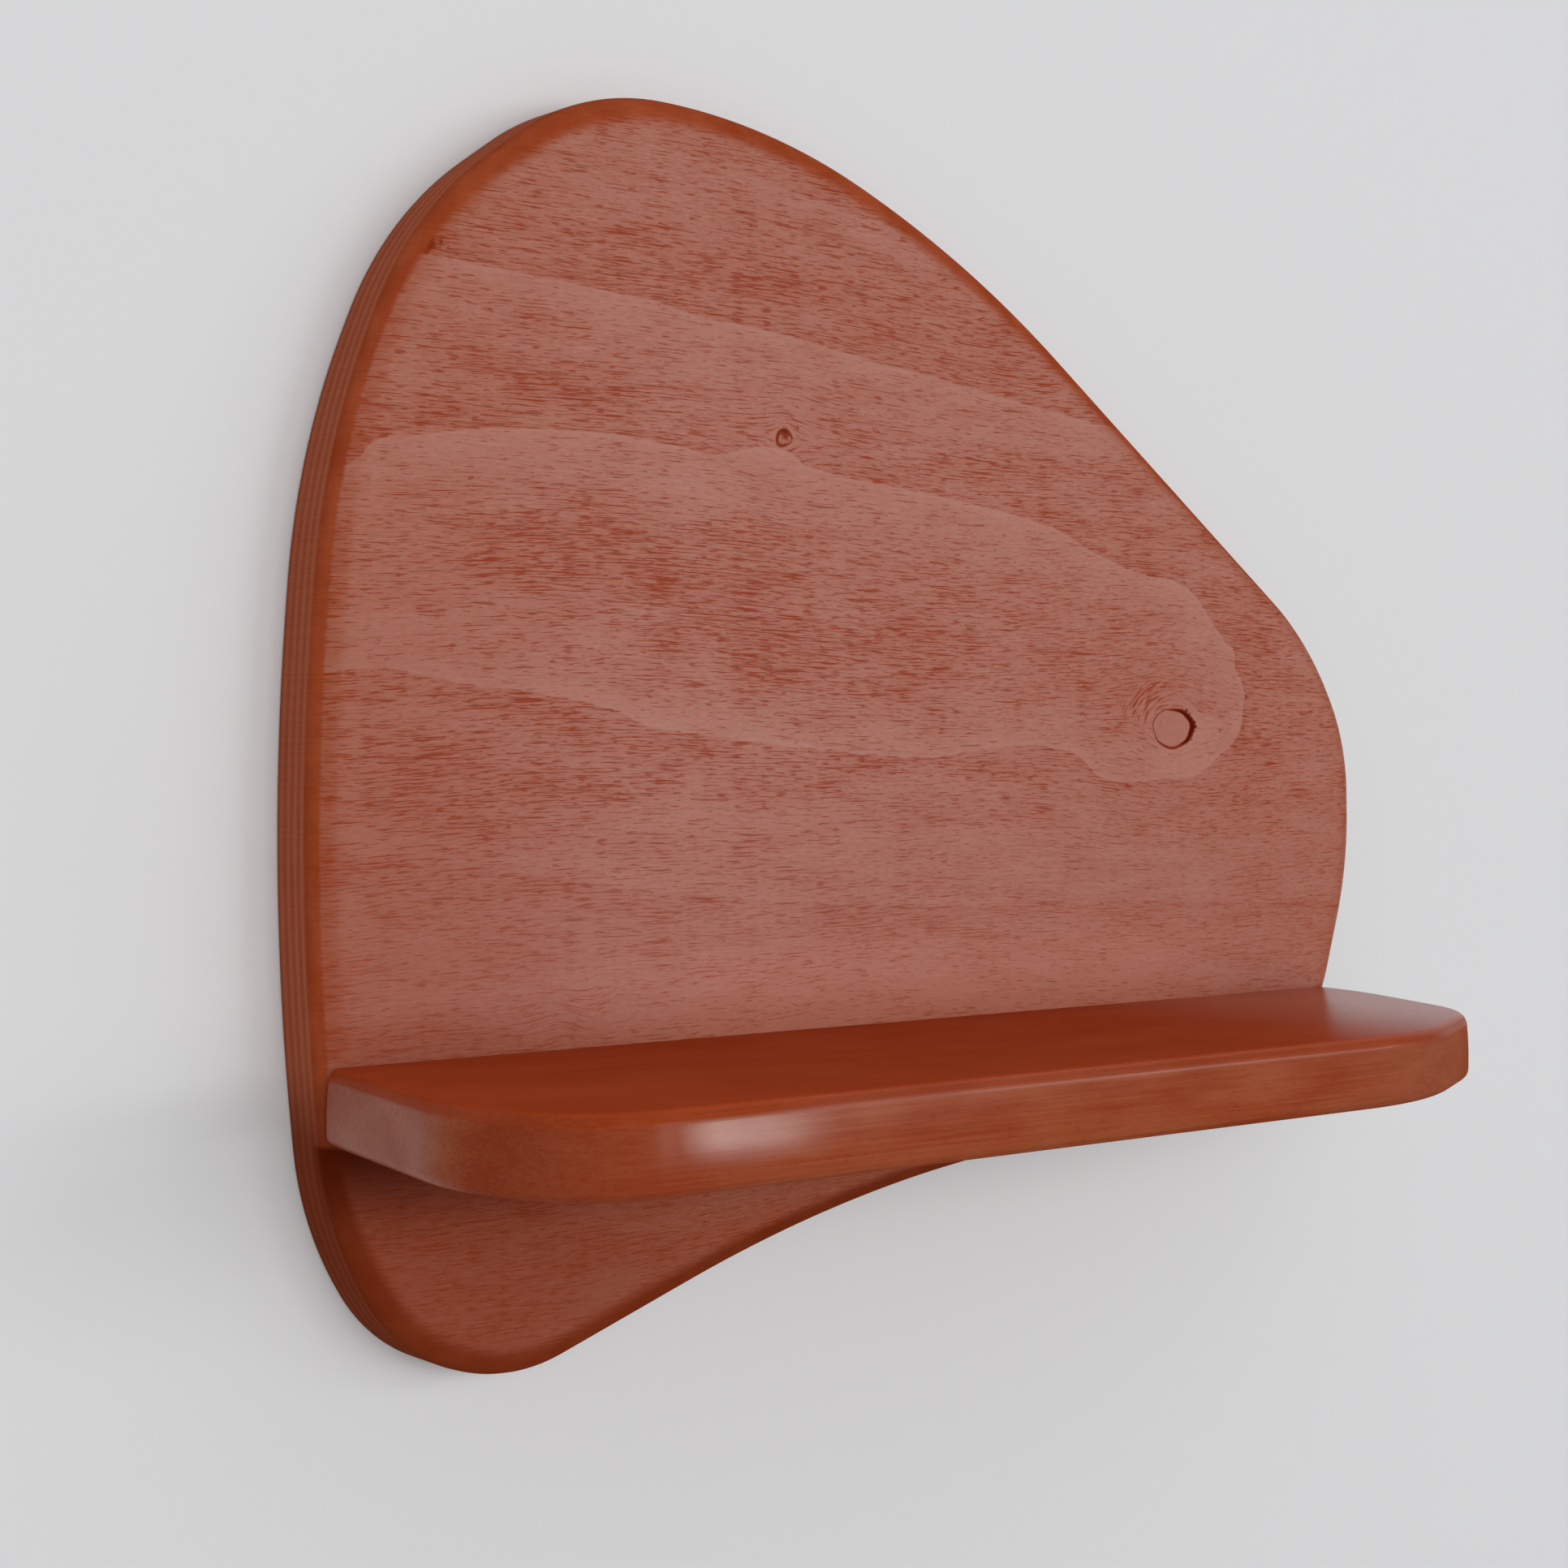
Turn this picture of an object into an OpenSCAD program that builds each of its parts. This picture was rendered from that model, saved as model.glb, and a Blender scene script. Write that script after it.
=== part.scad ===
// Decorative wall shelf: a plywood back panel with a pebble outline, a thick
// shelf board glued, dowelled and screwed to its face, and two keyhole hanger
// plates let into its back.
// Frame: +X to the right along the wall, +Y into the wall, +Z up. The origin is
// on the wall plane, midway between the entry holes of the two hanger plates.

/* [Back panel] */
// Overall width of the back panel
panel_w = 356; // [330:1:400]
// Overall height of the back panel
panel_h = 310; // [295:1:345]
// Thickness of the back panel
panel_t = 18; // [16:0.5:25]
// Radius of the roundover along the front edge of the panel
panel_edge_r = 5; // [2:0.5:8]

/* [Shelf board] */
// How far the shelf stands out from the panel's face
shelf_d = 105; // [90:1:130]
// Length of the shelf, end to end at its widest
shelf_w = 350; // [335:1:375]
// Thickness of the shelf
shelf_t = 18; // [16:0.5:25]
// Height of the shelf's top below the hanger line
shelf_drop = 130; // [122:1:138]
// Radius of the roundover along the shelf's top edge
shelf_top_r = 3.5; // [2:0.5:8]
// Radius of the easing along the shelf's bottom edge
shelf_bottom_r = 3; // [1:0.5:5]

/* [Dowels] */
// Diameter of the beech dowels
dowel_d = 8; // [6:1:10]
// Length of a dowel
dowel_len = 38; // [30:1:44]
// How far a dowel goes into the back panel
dowel_in_panel = 12; // [8:0.5:13]
// Distance between the two dowels
dowel_spacing = 140; // [110:1:180]
// Chamfer at the ends of a dowel
dowel_chamfer = 1; // [0.5:0.25:1.5]

/* [Shelf screws] */
// Length of a shelf screw, head included
screw_len = 50; // [40:1:60]
// Diameter of the plain shank under the head
screw_shank_d = 4.5; // [4:0.25:5]
// Diameter of the thread in the shelf
screw_thread_d = 3.5; // [3:0.25:3.75]
// Diameter of the countersunk head
screw_head_d = 9; // [8:0.25:10]
// Distance from the shelf's ends to the outer shelf screws, for a shelf centred on them
screw_margin = 35; // [25:1:60]
// How deep the heads sit below the back of the panel
screw_recess = 0.5; // [0:0.25:1.5]

/* [Hanger plates] */
// Distance between the two keyholes
hanger_spacing = 160; // [130:1:175]
// Height of a hanger plate
hanger_h = 44; // [40:1:56]
// Width of a hanger plate
hanger_w = 16; // [14:0.5:20]
// Thickness of a hanger plate
hanger_t = 1.6; // [1:0.2:2.4]
// Diameter of the keyhole's entry hole
entry_d = 9.5; // [8:0.5:11]
// Width of the keyhole's slot
slot_w = 5; // [4.5:0.25:6]
// Rise of the slot above the centre of the entry hole
slot_rise = 9; // [8:0.5:11]
// Depth of the space behind the keyhole for the head of the wall screw
head_room = 6; // [4.5:0.5:7]
// Distance between the two screws of a hanger plate
hanger_screw_spacing = 33; // [31:0.5:34]
// Length of a hanger screw, head included
hanger_screw_len = 12; // [10:1:14]
// Diameter of a hanger screw
hanger_screw_d = 2.5; // [2:0.25:3]
// Diameter of a hanger screw's head
hanger_screw_head_d = 5; // [4.5:0.25:6]

/* [Fits] */
// Gap round a glued dowel or a threaded screw, on the radius
snug_fit = 0.05; // [0.02:0.01:0.1]
// Gap round a screw's shank and head, on the radius
free_fit = 0.15; // [0.1:0.05:0.3]
// Gap round a hanger plate in its recess
plate_fit = 0.2; // [0.1:0.05:0.4]
// Gap beyond the end of a dowel or a screw in its hole
end_gap = 0.3; // [0.2:0.1:0.8]

/* [Hidden] */
$fa = 2;
$fs = 0.4;
// Largest angle and length that one facet of a rounded outline spans
facet_angle = 4;
facet_len = 9;
// Angle between the levels of a roundover
edge_step = 15;

// Corners of the panel's outline in order round it, anticlockwise as seen from
// the front: [x, z, radius of the round that replaces the corner]. They are
// scaled so that the finished outline has the panel's width and height.
panel_corners = [
    [-139.0, 68.5, 92],
    [-162.5, 11.5, 200],
    [-170.5, -88.5, 655],
    [-162.0, -168.5, 83],
    [-144.0, -199.0, 43],
    [-113.5, -209.5, 44],
    [-18.0, -176.5, 448],
    [159.5, -153.5, 27],
    [176.0, -135.0, 47],
    [188.5, -93.5, 105],
    [187.5, -56.0, 60],
    [170.0, -25.0, 89],
    [31.5, 75.0, 333],
    [-36.0, 102.0, 176],
    [-91.5, 103.5, 67]
];

// Corners of the shelf's plan, anticlockwise as seen from above: [x, distance in
// front of the panel's face, radius]. They are scaled to the shelf's length and
// depth. The first and last lie behind the face and are cut off there.
shelf_behind = 12;
shelf_corners = [
    [-163.0, -shelf_behind, 9],
    [-176.4, 70, 58],
    [-164.4, 105, 27],
    [95.4, 105, 94],
    [150.4, 75.5, 47],
    [175.0, 14.5, 93],
    [175.7, -shelf_behind, 9]
];

// The least length of straight edge left between two rounds
least_straight = 0.2;
// Middle of the shelf's length along X, where its fastenings are centred
shelf_mid_x = 5;
outer_screw = shelf_w / 2 - screw_margin;
screw_x = [shelf_mid_x - outer_screw, shelf_mid_x, shelf_mid_x + outer_screw];
dowel_x = [shelf_mid_x - dowel_spacing / 2, shelf_mid_x + dowel_spacing / 2];
hanger_x = [-hanger_spacing / 2, hanger_spacing / 2];
fastening_z = -shelf_drop - shelf_t / 2;
// The keyhole is centred on the height of its plate
hanger_centre_z = (slot_rise + slot_w / 2 - entry_d / 2) / 2;
hanger_screw_z = [hanger_centre_z + hanger_screw_spacing / 2, hanger_centre_z - hanger_screw_spacing / 2];

// How far a cut runs past the face it opens, and joined shapes into each other
past = 1;
// Height of the cylindrical rim of a countersunk head
head_rim = 0.4;
// How far a shelf screw's plain shank goes into the shelf
shank_in_shelf = 2;
// How far the heads of the hanger screws sit below the face of their plate
hanger_head_sink = 0.1;
// Room beside the head of the wall screw in its pocket
pocket_room = 1.25;

wood = "#a5604f";
shelf_wood = "#9a4a2e";
beech = "#d8b98c";
zinc = "#b9bcc0";

// Geometry of an outline with rounded corners, given in order round it with the
// board on the left

function wrap(list, i) = list[(i + len(list)) % len(list)];
function scaled(corners, sx, sy) = [for (c = corners) [c[0] * sx, c[1] * sy, c[2] * min(sx, sy)]];
function at(c) = [c[0], c[1]];
function along(a, b) = (b - a) / norm(b - a);
function left_of(d) = [-d[1], d[0]];
function angle_of(v) = atan2(v[1], v[0]);
function dir_out(corners, i) = along(at(wrap(corners, i)), at(wrap(corners, i + 1)));
function turn_at(corners, i) =
    let (a = dir_out(corners, i - 1), b = dir_out(corners, i))
    atan2(a[0] * b[1] - a[1] * b[0], a[0] * b[0] + a[1] * b[1]);
function wanted_reach(corners, i) = wrap(corners, i)[2] * tan(abs(turn_at(corners, i)) / 2);
// Share of the wanted rounds that the edge from corner i has room for
function room(corners, i) =
    let (edge = norm(at(wrap(corners, i + 1)) - at(wrap(corners, i))))
    min(1, (edge - least_straight) / (wanted_reach(corners, i) + wanted_reach(corners, i + 1)));
function reach(corners, i) =
    wanted_reach(corners, i) * min(room(corners, i - 1), room(corners, i));
// A round: [start point, end point, centre, radius, signed turn]
function round_at(corners, i) =
    let (
        turn = turn_at(corners, i),
        t = reach(corners, i),
        r = t / tan(abs(turn) / 2),
        a = dir_out(corners, i - 1),
        start = at(corners[i]) - a * t,
        centre = start + left_of(a) * r * sign(turn)
    )
    [start, at(corners[i]) + dir_out(corners, i) * t, centre, r, turn];
function rounds(corners) = [for (i = [0 : len(corners) - 1]) round_at(corners, i)];
// Points along a round, moved into the board by inset
function round_points(r, inset) =
    let (
        steps = max(ceil(abs(r[4]) / facet_angle), ceil(abs(r[4]) * PI / 180 * r[3] / facet_len)),
        first = angle_of(r[0] - r[2]),
        radius = r[3] - inset * sign(r[4])
    )
    [for (k = [0 : steps]) r[2] + radius * [cos(first + r[4] * k / steps), sin(first + r[4] * k / steps)]];
function outline_points(ring, inset) = [for (r = ring) each round_points(r, inset)];
// Section of a board's edge from the bottom up: [height, inset]
function edge_section(thickness, low_r, high_r) = [
    for (a = low_r > 0 ? [90 : -edge_step : 0] : [0])
        [low_r * (1 - sin(a)), low_r * (1 - cos(a))],
    for (a = [0 : edge_step : 90])
        [thickness - high_r * (1 - sin(a)), high_r * (1 - cos(a))]
];
function spread(list) = max(list) - min(list);
function extent(corners, k) = spread([for (p = outline_points(rounds(corners), 0)) p[k]]);
function middle(corners) = [for (k = [0, 1]) sum([for (c = corners) c[k]]) / len(corners)];
function sum(list, i = 0) = i == len(list) ? 0 : list[i] + sum(list, i + 1);

// One board: its outline, its thickness along +Z, and the radii of the
// roundovers along its lower and upper edges. Each level of the section is the
// outline drawn in by the section's inset, and the two flat faces are fans.
module board(corners, thickness, low_r, high_r) {
    ring = rounds(corners);
    section = edge_section(thickness, low_r, high_r);
    levels = len(section);
    count = len(outline_points(ring, 0));
    heart = middle(corners);
    points = [
        for (level = section)
            for (p = outline_points(ring, level[1]))
                [p[0], p[1], level[0]],
        [heart[0], heart[1], 0],
        [heart[0], heart[1], thickness]
    ];
    low_heart = levels * count;
    top = (levels - 1) * count;
    faces = [
        for (j = [0 : levels - 2])
            for (i = [0 : count - 1])
                let (
                    a = j * count + i,
                    b = j * count + (i + 1) % count
                )
                each [[a, b + count, b], [a, a + count, b + count]],
        for (i = [0 : count - 1])
            let (next = (i + 1) % count)
            each [[low_heart, i, next], [low_heart + 1, top + next, top + i]]
    ];
    polyhedron(points, faces);
}

// Turned shapes that lie along Y

// A cylinder from the back plane side at y = from to y = to, with to below from
module bar(d, from, to) {
    translate([0, from, 0])
        rotate([90, 0, 0])
            cylinder(d = d, h = from - to);
}

// A cone along Y, wide at y = from
module countersink(d_wide, d_narrow, from) {
    translate([0, from, 0])
        rotate([90, 0, 0])
            cylinder(d1 = d_wide, d2 = d_narrow, h = (d_wide - d_narrow) / 2);
}

// Two crossed slots in a screw's head
module cross_recess(head_d, face_y) {
    blade_w = head_d * 0.15;
    blade_l = head_d * 0.55;
    depth = head_d * 0.2;
    for (turn = [0, 90])
        translate([0, face_y, 0])
            rotate([0, turn, 0])
                translate([-blade_l / 2, -depth, -blade_w / 2])
                    cube([blade_l, depth + past, blade_w]);
}

// A screw with its head's face at y = face_y and its point at y = face_y - len
module wood_screw(head_d, shank_d, thread_d, shank_to, len, face_y) {
    cone_to = face_y - head_rim - (head_d - shank_d) / 2;
    point_h = thread_d * 0.8;
    tip_d = thread_d * 0.2;
    difference() {
        union() {
            bar(head_d, face_y, face_y - head_rim);
            countersink(head_d, shank_d, face_y - head_rim);
            bar(shank_d, cone_to, shank_to);
            bar(thread_d, shank_to, face_y - len + point_h);
            translate([0, face_y - len + point_h, 0])
                rotate([90, 0, 0])
                    cylinder(d1 = thread_d, d2 = tip_d, h = point_h);
        }
        cross_recess(head_d, face_y);
    }
}

// The hole that a countersunk screw's head needs, open towards +Y
module head_hole(head_d, shank_d, face_y, mouth_y) {
    bar(head_d + 2 * free_fit, mouth_y + past, face_y - head_rim);
    countersink(head_d + 2 * free_fit, shank_d + 2 * free_fit, face_y - head_rim);
}

// The same with room for the shank, down to y = to
module screw_hole(head_d, shank_d, face_y, mouth_y, to) {
    head_hole(head_d, shank_d, face_y, mouth_y);
    bar(shank_d + 2 * free_fit, face_y, to);
}

// Outline of a hanger plate, and of its recess when grown by a fit
module plate_outline(grow) {
    r = hanger_w / 2 + grow;
    half_run = hanger_h / 2 - hanger_w / 2;
    translate([-r, hanger_centre_z - half_run])
        square([2 * r, 2 * half_run]);
    for (side = [-1, 1])
        translate([0, hanger_centre_z + side * half_run])
            circle(r);
}

// A slot of width w from the entry hole's centre up to the slot's end
module rising_slot(w) {
    translate([-w / 2, 0])
        square([w, slot_rise]);
    for (z = [0, slot_rise])
        translate([0, z])
            circle(d = w);
}

// Extrudes an outline drawn in X and Z from y = from down to y = to
module slab_y(from, to) {
    translate([0, from, 0])
        rotate([90, 0, 0])
            linear_extrude(from - to)
                children();
}

plate_back_y = -plate_fit;
screw_face_y = -screw_recess;
shelf_face_y = -panel_t;
dowel_from_y = shelf_face_y + dowel_in_panel;
plate_front_y = plate_back_y - hanger_t;
screw_shank_to = shelf_face_y - shank_in_shelf;
head_pocket_w = entry_d + 2 * pocket_room;
hanger_screw_face_y = plate_back_y - hanger_head_sink;
panel_outline = scaled(panel_corners,
    panel_w / extent(panel_corners, 0), panel_h / extent(panel_corners, 1));
shelf_depth_drawn = max([for (c = shelf_corners) c[1]]);
shelf_plan = [
    for (c = scaled(shelf_corners,
            shelf_w / extent(shelf_corners, 0), shelf_d / shelf_depth_drawn))
        [c[0], shelf_face_y - c[1], c[2]]
];

module back_panel() {
    color(wood)
        difference() {
            rotate([90, 0, 0])
                board(panel_outline, panel_t, 0, panel_edge_r);
            for (x = screw_x)
                translate([x, 0, fastening_z])
                    screw_hole(screw_head_d, screw_shank_d, screw_face_y, 0, shelf_face_y - past);
            for (x = dowel_x)
                translate([x, 0, fastening_z])
                    bar(dowel_d + 2 * snug_fit, dowel_from_y + end_gap, shelf_face_y - past);
            for (x = hanger_x)
                translate([x, 0, 0]) {
                    slab_y(past, plate_front_y)
                        plate_outline(plate_fit);
                    slab_y(past, plate_front_y - head_room)
                        rising_slot(head_pocket_w);
                    for (z = hanger_screw_z)
                        translate([0, 0, z]) {
                            head_hole(hanger_screw_head_d, hanger_screw_d, hanger_screw_face_y, 0);
                            bar(hanger_screw_d + 2 * snug_fit, hanger_screw_face_y,
                                hanger_screw_face_y - hanger_screw_len - end_gap);
                        }
                }
        }
}

module shelf_board() {
    color(shelf_wood)
        difference() {
            translate([0, 0, -shelf_drop - shelf_t])
                board(shelf_plan, shelf_t, shelf_bottom_r, shelf_top_r);
            translate([-shelf_w, shelf_face_y, -shelf_drop - 2 * shelf_t])
                cube([2 * shelf_w, 4 * shelf_behind, 3 * shelf_t]);
            for (x = screw_x)
                translate([x, 0, fastening_z]) {
                    bar(screw_shank_d + 2 * free_fit, 0, screw_shank_to);
                    bar(screw_thread_d + 2 * snug_fit, 0, screw_face_y - screw_len - end_gap);
                }
            for (x = dowel_x)
                translate([x, 0, fastening_z])
                    bar(dowel_d + 2 * snug_fit, 0, dowel_from_y - dowel_len - end_gap);
        }
}

module dowel(x) {
    color(beech)
        translate([x, dowel_from_y, fastening_z])
            rotate([90, 0, 0]) {
                cylinder(d1 = dowel_d - 2 * dowel_chamfer, d2 = dowel_d, h = dowel_chamfer);
                translate([0, 0, dowel_chamfer])
                    cylinder(d = dowel_d, h = dowel_len - 2 * dowel_chamfer);
                translate([0, 0, dowel_len - dowel_chamfer])
                    cylinder(d1 = dowel_d, d2 = dowel_d - 2 * dowel_chamfer, h = dowel_chamfer);
            }
}

module shelf_screw(x) {
    color(zinc)
        translate([x, 0, fastening_z])
            wood_screw(screw_head_d, screw_shank_d, screw_thread_d, screw_shank_to, screw_len, screw_face_y);
}

module hanger_plate(x) {
    color(zinc)
        translate([x, 0, 0])
            difference() {
                slab_y(plate_back_y, plate_front_y)
                    difference() {
                        plate_outline(0);
                        rising_slot(slot_w);
                        circle(d = entry_d);
                    }
                for (z = hanger_screw_z)
                    translate([0, 0, z])
                        screw_hole(hanger_screw_head_d, hanger_screw_d, hanger_screw_face_y,
                            plate_back_y, plate_front_y - past);
            }
}

module hanger_screw(x, z) {
    color(zinc)
        translate([x, 0, z])
            wood_screw(hanger_screw_head_d, hanger_screw_d, hanger_screw_d,
                plate_front_y - past, hanger_screw_len, hanger_screw_face_y);
}

back_panel();
shelf_board();
dowel(dowel_x[0]);  // dowel_left
dowel(dowel_x[1]);  // dowel_right
shelf_screw(screw_x[0]);  // shelf_screw_left
shelf_screw(screw_x[1]);  // shelf_screw_centre
shelf_screw(screw_x[2]);  // shelf_screw_right
hanger_plate(hanger_x[0]);  // hanger_plate_left
hanger_plate(hanger_x[1]);  // hanger_plate_right
hanger_screw(hanger_x[0], hanger_screw_z[0]);  // hanger_screw_left_top
hanger_screw(hanger_x[0], hanger_screw_z[1]);  // hanger_screw_left_bottom
hanger_screw(hanger_x[1], hanger_screw_z[0]);  // hanger_screw_right_top
hanger_screw(hanger_x[1], hanger_screw_z[1]);  // hanger_screw_right_bottom
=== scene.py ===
"""Looks of a decorative wall shelf: a stained plywood back panel with a thick shelf board.

Lengths are written in millimetres, as in the part's source, and become metres when a mesh is made.
X runs right along the wall, Y into the wall and Z up.
"""

import math

import bmesh
import bpy
import numpy as np
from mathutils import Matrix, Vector
from mathutils.geometry import delaunay_2d_cdt


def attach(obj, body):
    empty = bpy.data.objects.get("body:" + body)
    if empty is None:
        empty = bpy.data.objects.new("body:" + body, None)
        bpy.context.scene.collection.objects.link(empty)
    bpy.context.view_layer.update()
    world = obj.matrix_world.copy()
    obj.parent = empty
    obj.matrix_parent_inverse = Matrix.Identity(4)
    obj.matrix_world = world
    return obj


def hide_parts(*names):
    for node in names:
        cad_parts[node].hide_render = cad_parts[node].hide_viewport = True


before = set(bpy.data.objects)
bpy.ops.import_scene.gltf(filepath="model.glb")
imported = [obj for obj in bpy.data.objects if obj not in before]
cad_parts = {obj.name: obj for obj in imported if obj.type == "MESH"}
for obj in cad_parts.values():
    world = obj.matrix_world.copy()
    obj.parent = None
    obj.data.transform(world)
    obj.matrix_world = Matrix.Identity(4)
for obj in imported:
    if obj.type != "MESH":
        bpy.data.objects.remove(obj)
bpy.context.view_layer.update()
MM = 0.001

# Sizes of the two boards, as in the part's source. PANEL_EASE is this script's own: how far the
# rounding of the panel's edge reaches in over the face
PANEL_W = 356
PANEL_H = 310
PANEL_T = 18
PANEL_EDGE_R = 5
PANEL_EASE = 7.5
SHELF_W = 350
SHELF_D = 105
SHELF_T = 18
SHELF_TOP_Z = -130
SHELF_TOP_R = 3.5
SHELF_BOTTOM_R = 3
SHELF_BEHIND = 12
FASTENING_Z = SHELF_TOP_Z - SHELF_T / 2
# Least length of straight edge between two rounds
LEAST_STRAIGHT = 0.2
# Corners of the two outlines: place and radius of the round at each
PANEL_CORNERS = [
    (-139.0, 68.5, 92), (-162.5, 11.5, 200), (-170.5, -88.5, 655), (-162.0, -168.5, 83),
    (-144.0, -199.0, 43), (-113.5, -209.5, 44), (-18.0, -176.5, 448), (159.5, -153.5, 27),
    (176.0, -135.0, 47), (188.5, -93.5, 105), (187.5, -56.0, 60), (170.0, -25.0, 89),
    (31.5, 75.0, 333), (-36.0, 102.0, 176), (-91.5, 103.5, 67),
]
SHELF_CORNERS = [
    (-163.0, -SHELF_BEHIND, 9), (-176.4, 70, 58), (-164.4, 105, 27), (95.4, 105, 94),
    (150.4, 75.5, 47), (175.0, 14.5, 93), (175.7, -SHELF_BEHIND, 9),
]

# Holes in the boards, as in the part's source
SCREW_X = (-135, 5, 145)
DOWEL_X = (-65, 75)
HANGER_X = (-80, 80)
SCREW_HEAD_R = 4.65
SCREW_SHANK_R = 2.4
SCREW_THREAD_R = 1.8
SCREW_END_Y = -50.8
SCREW_RIM_Y = -0.9
SHANK_END_Y = -20
DOWEL_R = 4.05
DOWEL_IN_PANEL_Y = -5.7
DOWEL_IN_SHELF_Y = -44.3
PLATE_RECESS_R = 8.2
PLATE_RECESS_Y = -1.8
PLATE_MIDDLE_Z = 3.375
PLATE_HALF_RUN = 14
POCKET_R = 6
POCKET_Y = -7.8
SLOT_RISE = 9
PLATE_SCREW_REACH = 16.5
PLATE_SCREW_R = 1.3
PLATE_SCREW_END_Y = -12.6


# Outlines with rounded corners

def scaled(corners, wide, high):
    """Corners with their places stretched by wide and high, and their radii by the smaller of the two."""
    return [(x * wide, y * high, r * min(wide, high)) for x, y, r in corners]


def rounds(corners):
    """The arc at every corner as (centre, radius, first angle, turn)."""
    places = np.array([c[:2] for c in corners], float)
    out = np.roll(places, -1, axis=0) - places
    length = np.hypot(*out.T)
    out /= length[:, None]
    come = np.roll(out, 1, axis=0)
    turn = np.arctan2(come[:, 0] * out[:, 1] - come[:, 1] * out[:, 0], (come * out).sum(axis=1))
    tangent = np.abs(np.tan(turn / 2))
    wanted = np.array([c[2] for c in corners]) * tangent
    room = np.minimum(1, (length - LEAST_STRAIGHT) / (wanted + np.roll(wanted, -1)))
    reach = wanted * np.minimum(room, np.roll(room, 1))
    made = []
    for place, way, sweep, tan_half, t in zip(places, come, turn, tangent, reach):
        radius = t / tan_half
        start = place - way * t
        centre = start + np.array([-way[1], way[0]]) * radius * np.sign(sweep)
        made.append((centre, radius, math.atan2(*(start - centre)[::-1]), sweep))
    return made


def outline(corners, inset=0.0, step=2.0):
    """Points round an outline about step apart, drawn in by inset."""
    arcs = rounds(corners)
    finest = math.radians(2)
    points = []
    for (centre, radius, first, sweep), after in zip(arcs, arcs[1:] + arcs[:1]):
        count = max(4, math.ceil(abs(sweep) * radius / step), math.ceil(abs(sweep) / finest))
        angles = first + sweep * np.linspace(0, 1, count + 1)
        drawn = radius - inset * np.sign(sweep)
        arc = centre + drawn * np.stack([np.cos(angles), np.sin(angles)], axis=1)
        next_drawn = after[1] - inset * np.sign(after[3])
        start = after[0] + next_drawn * np.array([math.cos(after[2]), math.sin(after[2])])
        gap = after[0] + after[1] * np.array([math.cos(after[2]), math.sin(after[2])])
        gap -= centre + radius * np.array([math.cos(angles[-1]), math.sin(angles[-1])])
        pieces = max(1, math.ceil(np.hypot(*gap) / step))
        run = [arc[-1] + (start - arc[-1]) * k / pieces for k in range(1, pieces)]
        points += [*arc, *run]
    return np.array(points)


def extent(corners):
    """Width and height of an outline."""
    return np.ptp(outline(corners), axis=0)


def quarter(radius, steps=8):
    """A quarter round as (how far below the face, inset) from the side up to the face."""
    angles = np.linspace(0, math.pi / 2, steps + 1)
    return [(radius * (1 - math.sin(a)), radius * (1 - math.cos(a))) for a in angles]


def eased(deep, wide, steps=12, power=2.25):
    """Like quarter, but deep and wide differ, and the curve runs flatter into both faces."""
    share = 2 / power
    angles = np.linspace(0, math.pi / 2, steps + 1)
    return [(deep * (1 - math.sin(a) ** share), wide * (1 - math.cos(a) ** share)) for a in angles]


# Meshes

def mesh_object(name, points, faces):
    """An object from points in millimetres."""
    mesh = bpy.data.meshes.new(name)
    mesh.from_pydata([tuple(p) for p in np.asarray(points) * MM], [], faces)
    mesh.validate()
    made = bpy.data.objects.new(name, mesh)
    bpy.context.collection.objects.link(made)
    return made


def flat_faces(edge, inside):
    """Triangles that fill the closed outline edge with the points inside: (points, triangles)."""
    count = len(edge)
    loop = [(i, (i + 1) % count) for i in range(count)]
    places = [Vector(p) for p in (*edge, *inside)]
    points, _, faces, *_ = delaunay_2d_cdt(places, loop, [], 1, 1e-7)
    return np.array([tuple(p) for p in points]), [list(f) for f in faces]


def board(name, rings, place, inside=(), behind=()):
    """A closed board. rings are (outline, height) from the back up to the face.

    place turns (x, y, height) into the part's frame. inside and behind hold extra points for the face
    and for the back.
    """
    count = len(rings[0][0])
    points = [place(x, y, high) for ring, high in rings for x, y in ring]
    faces = []
    for level in range(len(rings) - 1):
        low = level * count
        for i in range(count):
            j = (i + 1) % count
            faces.append((low + i, low + j, low + count + j, low + count + i))
    for (ring, high), extra, flip in ((rings[0], behind, True), (rings[-1], inside, False)):
        base = len(points)
        cap, triangles = flat_faces(ring, extra)
        points += [place(x, y, high) for x, y in cap]
        faces += [[base + i for i in (t[::-1] if flip else t)] for t in triangles]
    made = mesh_object(name, points, faces)
    weld(made)
    return made


def weld(thing, distance=0.002):
    """Joins points that lie together and turns all faces outward."""
    edit = bmesh.new()
    edit.from_mesh(thing.data)
    bmesh.ops.remove_doubles(edit, verts=edit.verts, dist=distance * MM)
    bmesh.ops.recalc_face_normals(edit, faces=edit.faces)
    edit.to_mesh(thing.data)
    edit.free()


def turned(sections, x, z, sides=48):
    """A closed round bar along Y at (x, z). sections are (y, radius) from the back forward."""
    angles = np.linspace(0, 2 * math.pi, sides, endpoint=False)
    points = [(x + r * math.cos(a), y, z + r * math.sin(a)) for y, r in sections for a in angles]
    faces = [tuple(range(sides)), tuple(reversed(range(len(points) - sides, len(points))))]
    for level in range(len(sections) - 1):
        low = level * sides
        for i in range(sides):
            j = (i + 1) % sides
            faces.append((low + i, low + sides + i, low + sides + j, low + j))
    return points, faces


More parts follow.
